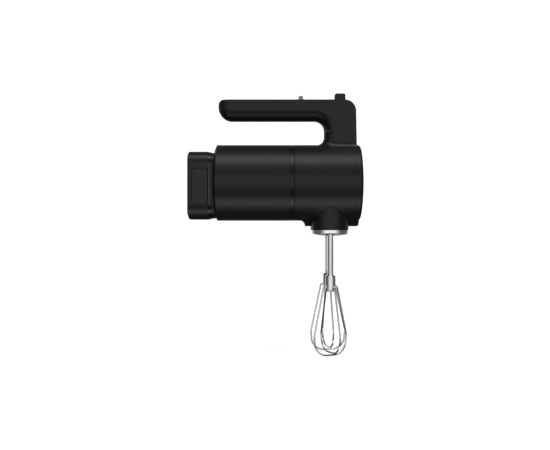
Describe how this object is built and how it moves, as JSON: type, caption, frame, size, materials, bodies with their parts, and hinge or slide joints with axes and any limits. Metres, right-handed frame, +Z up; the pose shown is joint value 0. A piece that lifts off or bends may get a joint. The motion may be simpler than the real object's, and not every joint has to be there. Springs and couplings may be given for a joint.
{
  "type": "cordless hand mixer",
  "caption": "Cordless hand mixer with a round motor barrel, an open-backed handle, a slide-out battery and twin wire beaters.",
  "frame": {"origin": "centre of the handle's grip", "axes": "+X to the front of the mixer, +Z up, +Y to its left side; beaters point down"},
  "size_m": [0.1998, 0.0868, 0.2979],
  "materials": {
    "housing_plastic": "soft-touch black, fine grain",
    "handle_plastic": "soft-touch black, fine grain",
    "trim_plastic": "satin black",
    "gloss_black": "polished black",
    "lever_plastic": "satin grey",
    "chrome_trim": "polished chrome",
    "beater_steel": "chrome-plated steel",
    "frame_plastic": "glass-filled nylon",
    "gear_plastic": "natural acetal",
    "board_laminate": "solder mask",
    "component_plastic": "moulded epoxy",
    "plated_steel": "zinc plated",
    "spring_steel": "drawn wire and strip",
    "magnet_ferrite": "sintered",
    "bearing_bronze": "bare copper alloy",
    "cell_wrap": "shrink sleeve"
  },
  "bodies": {
    "housing": {"barrel_shell": "housing_plastic", "seam_band": "trim_plastic", "head_shell": "housing_plastic", "nose_cap": "housing_plastic", "boss_collar": "chrome_trim", "dock_collar": "housing_plastic", "dock_sleeve": "frame_plastic", "terminal_block": "frame_plastic", "terminal_blades": "bearing_bronze", "handle_left_shell": "handle_plastic", "handle_right_shell": "handle_plastic", "handle_screws": "plated_steel", "speed_track": "gloss_black", "speed_switch": "frame_plastic", "control_board": "board_laminate", "board_components": "component_plastic", "motor_can": "plated_steel", "motor_magnets": "magnet_ferrite", "motor_end_cap": "frame_plastic", "motor_brushes": "magnet_ferrite", "shaft_bearings": "bearing_bronze", "gear_frame": "frame_plastic", "frame_screws": "plated_steel", "spindle_bushes": "bearing_bronze", "eject_spring": "spring_steel"},
    "rotor": {"motor_shaft": "plated_steel", "armature_core": "plated_steel", "armature_windings": "bearing_bronze", "commutator": "bearing_bronze", "cooling_fan": "frame_plastic", "worm": "plated_steel"},
    "left_drive": {"left_worm_wheel": "gear_plastic", "left_spindle": "plated_steel", "left_beater_clip": "spring_steel"},
    "right_drive": {"right_worm_wheel": "gear_plastic", "right_spindle": "plated_steel", "right_beater_clip": "spring_steel"},
    "left_pin": {"left_push_pin": "plated_steel"},
    "right_pin": {"right_push_pin": "plated_steel"},
    "left_beater": {"left_beater_shaft": "beater_steel", "left_beater_collar": "beater_steel", "left_outer_loop": "beater_steel", "left_inner_loop": "beater_steel"},
    "right_beater": {"right_beater_shaft": "beater_steel", "right_beater_collar": "beater_steel", "right_outer_loop": "beater_steel", "right_inner_loop": "beater_steel"},
    "ejector": {"eject_button": "trim_plastic", "ejector_rod": "plated_steel", "ejector_fork": "frame_plastic"},
    "speed_control": {"speed_lever": "lever_plastic"},
    "battery_pack": {"battery_case": "housing_plastic", "battery_cover": "gloss_black", "pack_screws": "plated_steel", "battery_cells": "cell_wrap", "battery_contacts": "bearing_bronze", "cell_holder": "frame_plastic", "release_springs": "spring_steel"},
    "left_release": {"left_release_button": "trim_plastic"},
    "right_release": {"right_release_button": "trim_plastic"}
  },
  "joints": [
    {"name": "motor_spin", "type": "hinge", "parent": "housing", "child": "rotor", "pos_m": [0, 0, -0.08215], "axis": [1, 0, 0], "continuous": true},
    {"name": "left_beater_spin", "type": "hinge", "parent": "housing", "child": "left_drive", "pos_m": [0.0662, 0.021, -0.08215], "axis": [0, 0, 1], "continuous": true},
    {"name": "right_beater_spin", "type": "hinge", "parent": "housing", "child": "right_drive", "pos_m": [0.0662, -0.021, -0.08215], "axis": [0, 0, 1], "continuous": true},
    {"name": "eject_press", "type": "slide", "parent": "housing", "child": "ejector", "axis": [0, 0, -1], "range_m": [0, 0.007], "stiffness_N_per_m": 1500, "springref_m": -0.002, "deforming": ["eject_spring"]},
    {"name": "left_pin_push", "type": "slide", "parent": "left_drive", "child": "left_pin", "axis": [0, 0, -1], "range_m": [0, 0.007]},
    {"name": "right_pin_push", "type": "slide", "parent": "right_drive", "child": "right_pin", "axis": [0, 0, -1], "range_m": [0, 0.007]},
    {"name": "left_beater_pull", "type": "slide", "parent": "left_pin", "child": "left_beater", "axis": [0, 0, -1], "range_m": [0, 0.05]},
    {"name": "right_beater_pull", "type": "slide", "parent": "right_pin", "child": "right_beater", "axis": [0, 0, -1], "range_m": [0, 0.05]},
    {"name": "speed_slide", "type": "slide", "parent": "housing", "child": "speed_control", "axis": [1, 0, 0], "range_m": [0, 0.018]},
    {"name": "battery_slide", "type": "slide", "parent": "housing", "child": "battery_pack", "axis": [-1, 0, 0], "range_m": [0, 0.045]},
    {"name": "left_release_press", "type": "slide", "parent": "battery_pack", "child": "left_release", "axis": [0, -1, 0], "range_m": [0, 0.0018], "stiffness_N_per_m": 2500, "springref_m": -0.001},
    {"name": "right_release_press", "type": "slide", "parent": "battery_pack", "child": "right_release", "axis": [0, 1, 0], "range_m": [0, 0.0018], "stiffness_N_per_m": 2500, "springref_m": -0.001}
  ],
  "couplings": [
    {"joint": "left_beater_spin", "follows": "motor_spin", "ratio": -0.03125},
    {"joint": "right_beater_spin", "follows": "motor_spin", "ratio": 0.03125},
    {"joint": "left_pin_push", "follows": "eject_press", "ratio": 1},
    {"joint": "right_pin_push", "follows": "eject_press", "ratio": 1}
  ]
}
